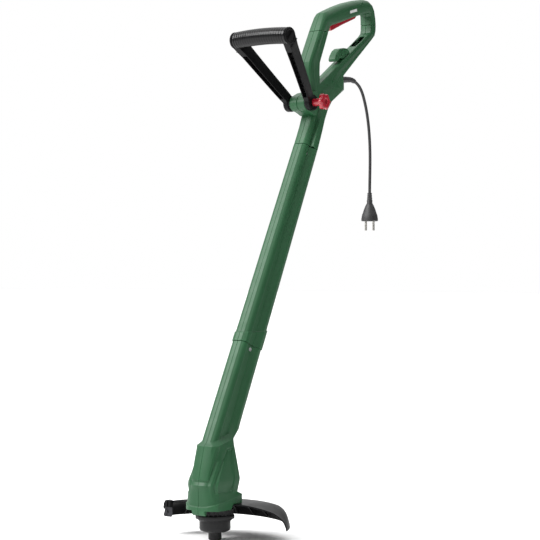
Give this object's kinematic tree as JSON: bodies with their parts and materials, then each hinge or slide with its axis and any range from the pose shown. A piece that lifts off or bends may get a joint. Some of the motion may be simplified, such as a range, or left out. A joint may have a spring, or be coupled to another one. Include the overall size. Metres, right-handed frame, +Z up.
{
  "type": "string trimmer",
  "caption": "Corded grass trimmer with a leaning hollow body, D-shaped rear handle with trigger, tilting front handle, rear guard and bump-feed line head.",
  "frame": {"origin": "middle of the bump button underside, on the spin axis of the line head", "axes": "+Z up along the spin axis, -Y forward where the line cuts, +X the side of the clamp knob; X = 0 is the plane of symmetry of the casing"},
  "size_m": [0.2657, 0.5605, 1.0425],
  "materials": {
    "green_plastic": "matte moulded dark green",
    "black_plastic": "matte moulded black",
    "gloss_black_plastic": "glossy moulded black",
    "head_plastic": "satin moulded charcoal",
    "red_plastic": "glossy moulded red",
    "cord_rubber": "matte black",
    "line_nylon": "translucent orange line",
    "dark_insulator": "matte",
    "brown_insulation": "wire insulation",
    "blue_insulation": "wire insulation",
    "grey_plastic": "moulded grey",
    "bright_steel": "bright",
    "screw_steel": "zinc plated",
    "nickel": "nickel plated",
    "brass": "plain",
    "lamination_steel": "varnished stack",
    "copper": "enamelled copper",
    "carbon": "pressed carbon"
  },
  "bodies": {
    "frame": {"bearing_bracket": "grey_plastic", "blue_lead": "blue_insulation", "brown_lead": "brown_insulation", "brush_holders": "dark_insulator", "cable_hook": "green_plastic", "capacitor": "dark_insulator", "carbon_brushes": "carbon", "clamp_screws": "screw_steel", "cord_boot": "cord_rubber", "cord_clamp": "dark_insulator", "cutter_screw": "screw_steel", "field_coils": "copper", "field_core": "lamination_steel", "grip_shell_left": "green_plastic", "grip_shell_right": "green_plastic", "guard": "black_plastic", "guard_screws": "screw_steel", "handle_shell_left": "green_plastic", "handle_shell_right": "green_plastic", "line_cutter": "bright_steel", "lower_bearing": "bright_steel", "micro_switch": "dark_insulator", "motor_housing_left": "green_plastic", "motor_housing_right": "green_plastic", "motor_plate": "grey_plastic", "plug_body": "cord_rubber", "plug_pins": "nickel", "power_cord": "cord_rubber", "section_screws": "screw_steel", "shaft_shell_left": "green_plastic", "shaft_shell_right": "green_plastic", "shell_screws": "screw_steel", "trigger_pin": "bright_steel", "trigger_spring": "bright_steel", "upper_bearing": "bright_steel", "vent_ring": "head_plastic"},
    "cutting_head": {"motor_shaft": "bright_steel", "armature_core": "lamination_steel", "lower_winding": "copper", "upper_winding": "copper", "commutator": "copper", "cooling_fan": "grey_plastic", "spool_base": "head_plastic", "spool_cap": "head_plastic", "line_eyelet": "brass", "bump_spring": "bright_steel"},
    "bump_button": {"bump_button": "head_plastic"},
    "line_spool": {"line_spool": "head_plastic", "cutting_line": "line_nylon"},
    "trigger": {"trigger": "red_plastic"},
    "switch_plunger": {"switch_plunger": "dark_insulator"},
    "aux_handle": {"aux_handle": "black_plastic", "aux_grip": "gloss_black_plastic", "clamp_bolt": "bright_steel", "clamp_washers": "bright_steel"},
    "clamp_knob": {"clamp_knob": "red_plastic", "knob_insert": "brass"}
  },
  "joints": [
    {"name": "head_spin", "type": "hinge", "parent": "frame", "child": "cutting_head", "pos_m": [0, 0, 0.05], "axis": [0, 0, 1], "continuous": true},
    {"name": "bump_press", "type": "slide", "parent": "cutting_head", "child": "bump_button", "axis": [0, 0, 1], "range_m": [0, 0.006], "stiffness_N_per_m": 900, "springref_m": -0.006, "deforming": ["bump_spring"]},
    {"name": "spool_feed", "type": "hinge", "parent": "bump_button", "child": "line_spool", "pos_m": [0, 0, 0.028], "axis": [0, 0, 1], "continuous": true},
    {"name": "trigger_pull", "type": "hinge", "parent": "frame", "child": "trigger", "pos_m": [0, 0.438, 1.014], "axis": [-1, 0, 0], "range_deg": [0, 7.5], "stiffness_Nm_per_rad": 1.2, "springref_deg": -8.59},
    {"name": "plunger_press", "type": "slide", "parent": "frame", "child": "switch_plunger", "axis": [0, 0, 1], "range_m": [0, 0.0033]},
    {"name": "front_handle_tilt", "type": "hinge", "parent": "frame", "child": "aux_handle", "pos_m": [0, 0.26, 0.818], "axis": [-1, 0, 0], "range_deg": [-35, 45]},
    {"name": "knob_turn", "type": "hinge", "parent": "aux_handle", "child": "clamp_knob", "pos_m": [0.045, 0.26, 0.818], "axis": [1, 0, 0], "range_deg": [0, 540]}
  ],
  "couplings": [
    {"joint": "plunger_press", "follows": "trigger_pull", "m_per_rad": 0.024}
  ]
}
